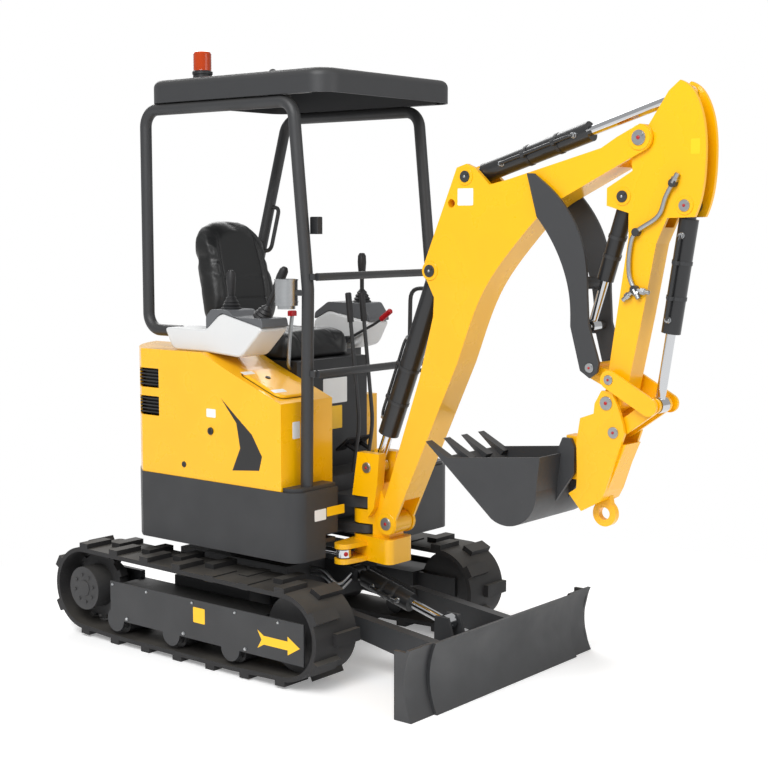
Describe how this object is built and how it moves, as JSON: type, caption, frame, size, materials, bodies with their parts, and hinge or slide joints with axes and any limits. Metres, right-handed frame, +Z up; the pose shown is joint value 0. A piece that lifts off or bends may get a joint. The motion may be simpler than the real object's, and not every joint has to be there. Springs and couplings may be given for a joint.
{
  "type": "mini excavator",
  "caption": "Compact tracked excavator with open canopy, swing boom, bent arm, quick coupler, bucket, thumb and dozer blade.",
  "frame": {"origin": "middle of the bounding box on the ground, tracks standing on z = 0", "axes": "+X forward towards the blade, +Y to the operator's left, +Z up"},
  "size_m": [2.8326, 1.2, 2.457],
  "materials": {
    "yellow_paint": "gloss",
    "grey_paint": "satin",
    "rubber": "matte",
    "steel_rod": "polished",
    "cast_grey": "matte",
    "black_plastic": "matte",
    "white_plastic": "satin",
    "seat_vinyl": "satin",
    "amber_lens": "gloss",
    "worn_steel": "worn"
  },
  "bodies": {
    "undercarriage": {"track_frame": "grey_paint", "track_right": "rubber", "track_left": "rubber", "drive_sprockets": "cast_grey", "front_idlers": "cast_grey", "track_rollers": "cast_grey", "track_covers": "grey_paint", "slew_ring": "cast_grey"},
    "house": {"deck_frame": "grey_paint", "skirt": "grey_paint", "hood_right": "yellow_paint", "hood_rear": "yellow_paint", "side_box": "yellow_paint", "engine": "cast_grey", "floor_plate": "grey_paint", "seat_base": "black_plastic", "seat_cushion": "seat_vinyl", "seat_back": "seat_vinyl", "right_console": "white_plastic", "left_console": "white_plastic", "joysticks": "black_plastic", "travel_levers": "black_plastic", "canopy_right": "grey_paint", "canopy_left": "grey_paint", "canopy_rails": "grey_paint", "roof": "grey_paint", "beacon": "amber_lens", "swing_ram_barrel": "grey_paint"},
    "swing_rod": {"swing_ram_rod": "steel_rod"},
    "swing_post": {"swing_post": "yellow_paint"},
    "boom": {"boom": "yellow_paint"},
    "arm": {"arm": "yellow_paint"},
    "side_links": {"side_links": "yellow_paint"},
    "push_link": {"push_link": "yellow_paint"},
    "tool": {"quick_coupler": "yellow_paint", "bucket": "worn_steel"},
    "thumb": {"thumb": "grey_paint"},
    "blade": {"dozer_blade": "grey_paint"},
    "boom_ram_barrel": {"boom_ram_barrel": "grey_paint"},
    "boom_ram_rod": {"boom_ram_rod": "steel_rod"},
    "arm_ram_barrel": {"arm_ram_barrel": "grey_paint"},
    "arm_ram_rod": {"arm_ram_rod": "steel_rod"},
    "bucket_ram_barrel": {"bucket_ram_barrel": "grey_paint"},
    "bucket_ram_rod": {"bucket_ram_rod": "steel_rod"},
    "thumb_ram_barrel": {"thumb_ram_barrel": "grey_paint"},
    "thumb_ram_rod": {"thumb_ram_rod": "steel_rod"},
    "blade_ram_barrel": {"blade_ram_barrel": "grey_paint"},
    "blade_ram_rod": {"blade_ram_rod": "steel_rod"}
  },
  "joints": [
    {"name": "slew", "type": "hinge", "parent": "undercarriage", "child": "house", "pos_m": [-0.64522, 0, 0.432], "axis": [0, 0, 1], "continuous": true},
    {"name": "boom_swing", "type": "hinge", "parent": "house", "child": "swing_post", "pos_m": [-0.05522, -0.1, 0.586], "axis": [0, 0, 1], "range_deg": [-50, 60]},
    {"name": "swing_rod_slide", "type": "slide", "parent": "house", "child": "swing_rod", "axis": [1, 0, 0], "range_m": [-0.12743, 0.14995]},
    {"name": "boom_lift", "type": "hinge", "parent": "swing_post", "child": "boom", "pos_m": [0.08978, -0.1, 0.586], "axis": [0, -1, 0], "range_deg": [-40, 12]},
    {"name": "boom_ram_pivot", "type": "hinge", "parent": "boom", "child": "boom_ram_barrel", "pos_m": [0.29978, -0.1, 1.575], "axis": [0, -1, 0], "range_deg": [-5.53, 1.94]},
    {"name": "boom_rod_slide", "type": "slide", "parent": "boom_ram_barrel", "child": "boom_ram_rod", "axis": [-0.361, 0, -0.9326], "range_m": [-0.05237, 0.14936]},
    {"name": "arm_swing", "type": "hinge", "parent": "boom", "child": "arm", "pos_m": [1.17878, -0.1, 2.037], "axis": [0, 1, 0], "range_deg": [-114, 0]},
    {"name": "arm_ram_pivot", "type": "hinge", "parent": "boom", "child": "arm_ram_barrel", "pos_m": [0.46178, -0.1, 1.922], "axis": [0, -1, 0], "range_deg": [-0.56, 9.85]},
    {"name": "arm_rod_slide", "type": "slide", "parent": "arm_ram_barrel", "child": "arm_ram_rod", "axis": [0.9581, 0, 0.2865], "range_m": [-0.34352, 0.01944]},
    {"name": "bucket_curl", "type": "hinge", "parent": "arm", "child": "tool", "pos_m": [1.06978, -0.1, 1.136], "axis": [0, 1, 0], "range_deg": [-90, 0]},
    {"name": "bucket_ram_pivot", "type": "hinge", "parent": "arm", "child": "bucket_ram_barrel", "pos_m": [1.34478, -0.1, 1.811], "axis": [0, -1, 0], "range_deg": [-2.38, 0.14]},
    {"name": "bucket_rod_slide", "type": "slide", "parent": "bucket_ram_barrel", "child": "bucket_ram_rod", "axis": [-0.1525, 0, -0.9883], "range_m": [-0.20055, 0.01135]},
    {"name": "side_link_pivot", "type": "hinge", "parent": "arm", "child": "side_links", "pos_m": [1.08678, -0.1, 1.219], "axis": [0, -1, 0], "range_deg": [-3.93, 69.36]},
    {"name": "push_link_pivot", "type": "hinge", "parent": "tool", "child": "push_link", "pos_m": [1.09978, -0.1, 1.036], "axis": [0, -1, 0], "range_deg": [-55.04, 3.12]},
    {"name": "thumb", "type": "hinge", "parent": "arm", "child": "thumb", "pos_m": [1.01278, -0.1, 1.256], "axis": [0, -1, 0], "range_deg": [0, 80]},
    {"name": "thumb_ram_pivot", "type": "hinge", "parent": "arm", "child": "thumb_ram_barrel", "pos_m": [1.10978, -0.1, 1.843], "axis": [0, -1, 0], "range_deg": [-8.18, 0.46]},
    {"name": "thumb_rod_slide", "type": "slide", "parent": "thumb_ram_barrel", "child": "thumb_ram_rod", "axis": [-0.2996, 0, -0.9541], "range_m": [-0.01061, 0.18745]},
    {"name": "blade_lift", "type": "hinge", "parent": "undercarriage", "child": "blade", "pos_m": [-0.08522, 0, 0.196], "axis": [0, -1, 0], "range_deg": [-20, 25]},
    {"name": "blade_ram_pivot", "type": "hinge", "parent": "undercarriage", "child": "blade_ram_barrel", "pos_m": [-0.19922, 0, 0.318], "axis": [0, -1, 0], "range_deg": [-16.2, 19.76]},
    {"name": "blade_rod_slide", "type": "slide", "parent": "blade_ram_barrel", "child": "blade_ram_rod", "axis": [0.9644, 0, -0.2643], "range_m": [-0.04512, 0.03698]}
  ],
  "couplings": [
    {"joint": "swing_rod_slide", "follows": "boom_swing", "m_per_rad": 0.129},
    {"joint": "boom_ram_pivot", "follows": "boom_lift", "ratio": 0.12835},
    {"joint": "boom_rod_slide", "follows": "boom_lift", "m_per_rad": -0.19847},
    {"joint": "arm_ram_pivot", "follows": "arm_swing", "ratio": -0.08148},
    {"joint": "arm_rod_slide", "follows": "arm_swing", "m_per_rad": 0.16288},
    {"joint": "bucket_ram_pivot", "follows": "bucket_curl", "ratio": 0.02496},
    {"joint": "bucket_rod_slide", "follows": "bucket_curl", "m_per_rad": 0.12045},
    {"joint": "side_link_pivot", "follows": "bucket_curl", "ratio": -0.72705},
    {"joint": "push_link_pivot", "follows": "bucket_curl", "ratio": 0.57693},
    {"joint": "thumb_ram_pivot", "follows": "thumb", "ratio": -0.09643},
    {"joint": "thumb_rod_slide", "follows": "thumb", "m_per_rad": 0.12665},
    {"joint": "blade_ram_pivot", "follows": "blade_lift", "ratio": 0.71348},
    {"joint": "blade_rod_slide", "follows": "blade_lift", "m_per_rad": -0.09333}
  ]
}
